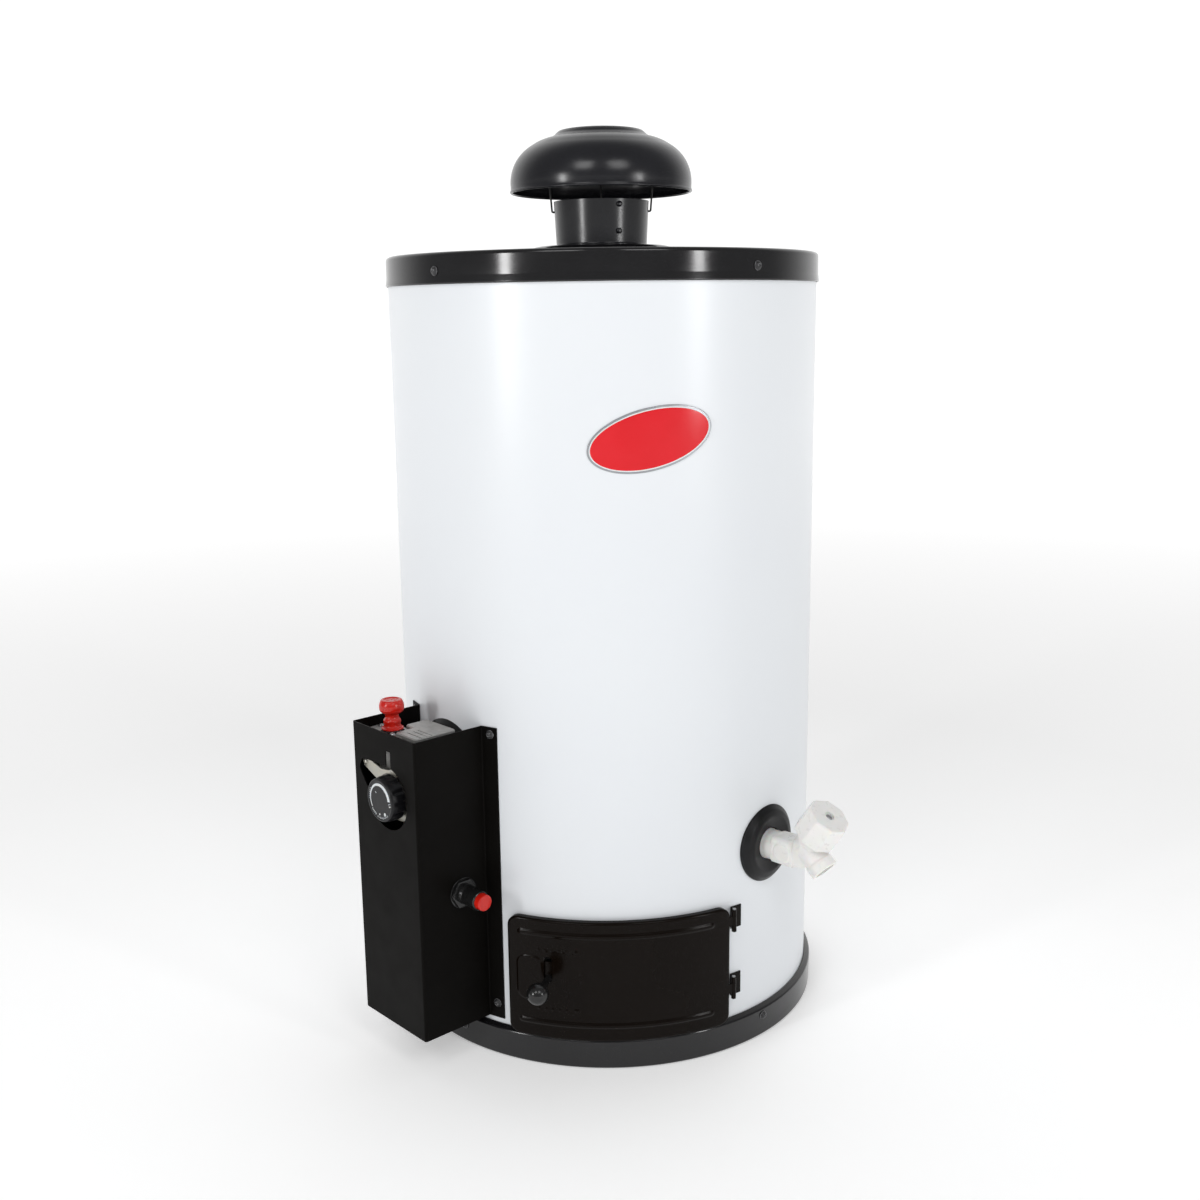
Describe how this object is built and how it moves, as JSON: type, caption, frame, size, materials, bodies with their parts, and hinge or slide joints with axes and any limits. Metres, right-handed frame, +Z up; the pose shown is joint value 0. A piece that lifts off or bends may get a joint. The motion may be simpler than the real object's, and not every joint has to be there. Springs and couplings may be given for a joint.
{
  "type": "gas storage water heater",
  "caption": "Free-standing cylindrical gas water heater with draft hood, control box, thermostat dial, igniter button, hinged burner door and drain valve.",
  "frame": {"origin": "centre of the round base, on the floor", "axes": "+Z up along the tank, -Y towards the burner access door at the front, +X to the right as seen from the front"},
  "size_m": [0.4416, 0.4619, 0.834],
  "materials": {
    "black_enamel": "gloss black enamel",
    "black_screws": "black pan heads, slightly worn",
    "white_enamel": "satin white enamel on sheet steel",
    "hood_black": "high temperature black enamel",
    "steel": "zinc plated",
    "dark_wire": "blackened wire",
    "tank_steel": "glass-lined steel, blue-black primer outside",
    "bare_sheet": "bare aluminised sheet",
    "magnesium": "cast magnesium",
    "zinc_pipe": "galvanised",
    "glass_wool": "yellow glass wool",
    "escutcheon_black": "moulded black",
    "box_black": "satin black powder coat",
    "cast_alloy": "die cast",
    "brass": "machined",
    "copper": "copper tube",
    "zinc_plate": "yellow zinc plated",
    "dial_black": "moulded black",
    "red_plastic": "moulded red",
    "lead_rubber": "silicone lead",
    "aluminium_tube": "drawn tube",
    "burner_iron": "cast",
    "ceramic": "glazed insulator",
    "door_black": "gloss black enamel",
    "knob_black": "moulded ball",
    "white_plastic": "moulded acetal",
    "seal_rubber": "nitrile",
    "badge_silver": "silver rim",
    "badge_red": "domed red"
  },
  "bodies": {
    "heater": {"base_pan": "black_enamel", "base_pan_screws": "black_screws", "jacket": "white_enamel", "top_cover": "black_enamel", "top_cover_screws": "black_screws", "flue_collar": "hood_black", "collar_rivets": "steel", "hood_cap": "hood_black", "hood_wires": "dark_wire", "tank_shell": "tank_steel", "tank_top_head": "tank_steel", "tank_bottom_head": "tank_steel", "flue_tube": "tank_steel", "flue_baffle": "bare_sheet", "anode_rod": "magnesium", "tank_spuds": "tank_steel", "hot_outlet_nipple": "zinc_pipe", "cold_inlet_nipple": "zinc_pipe", "insulation": "glass_wool", "drain_escutcheon": "escutcheon_black", "pipe_escutcheons": "escutcheon_black", "control_box": "box_black", "control_box_screws": "black_screws", "control_body": "cast_alloy", "control_shank": "brass", "thermostat_probe": "copper", "dial_bracket": "zinc_plate", "control_screws": "steel", "gas_fittings": "brass", "pilot_spring": "steel", "piezo_body": "dial_black", "piezo_nut": "dial_black", "ignition_lead": "lead_rubber", "gas_manifold": "aluminium_tube", "burner_orifice": "brass", "mixing_tube": "bare_sheet", "burner_head": "burner_iron", "burner_bracket": "bare_sheet", "pilot_burner": "steel", "pilot_tube": "aluminium_tube", "thermocouple": "copper", "spark_electrode": "ceramic", "door_hinge_leaves": "door_black", "door_hinge_pins": "steel", "drain_body": "white_plastic", "badge_base": "badge_silver", "badge_face": "badge_red"},
    "dial": {"temperature_dial": "dial_black", "dial_shaft": "brass"},
    "pilot_button": {"pilot_knob": "red_plastic", "pilot_stem": "steel"},
    "igniter_button": {"piezo_button": "red_plastic"},
    "access_door": {"door_panel": "door_black"},
    "door_latch": {"latch_slider": "door_black", "latch_knob": "knob_black"},
    "drain_seal": {"drain_washer": "seal_rubber"},
    "drain_spindle": {"drain_stem": "white_plastic", "drain_handle": "white_plastic", "drain_handle_screw": "steel"}
  },
  "joints": [
    {"name": "dial_turn", "type": "hinge", "parent": "heater", "child": "dial", "pos_m": [-0.18952, -0.18095, 0.252], "axis": [-0.7337, -0.6794, 0], "range_deg": [-60, 210]},
    {"name": "pilot_press", "type": "slide", "parent": "heater", "child": "pilot_button", "axis": [0, 0, -1], "range_m": [0, 0.005], "stiffness_N_per_m": 900, "springref_m": -0.004, "deforming": ["pilot_spring"]},
    {"name": "igniter_press", "type": "slide", "parent": "heater", "child": "igniter_button", "axis": [-0.6794, 0.7337, 0], "range_m": [0, 0.006], "stiffness_N_per_m": 900, "springref_m": -0.003},
    {"name": "door_swing", "type": "hinge", "parent": "heater", "child": "access_door", "pos_m": [0.11282, -0.17307, 0.084], "axis": [0, 0, 1], "range_deg": [0, 110]},
    {"name": "latch_slide", "type": "slide", "parent": "access_door", "child": "door_latch", "axis": [0, 0, 1], "range_m": [0, 0.017]},
    {"name": "drain_lift", "type": "slide", "parent": "heater", "child": "drain_seal", "axis": [0.4181, -0.3926, 0.8192], "range_m": [0, 0.004]},
    {"name": "drain_turn", "type": "hinge", "parent": "drain_seal", "child": "drain_spindle", "pos_m": [0.1735, -0.16292, 0.1875], "axis": [0.4181, -0.3926, 0.8192], "range_deg": [0, 720]}
  ],
  "couplings": [
    {"joint": "drain_turn", "follows": "drain_lift", "rad_per_m": 3141.6}
  ]
}
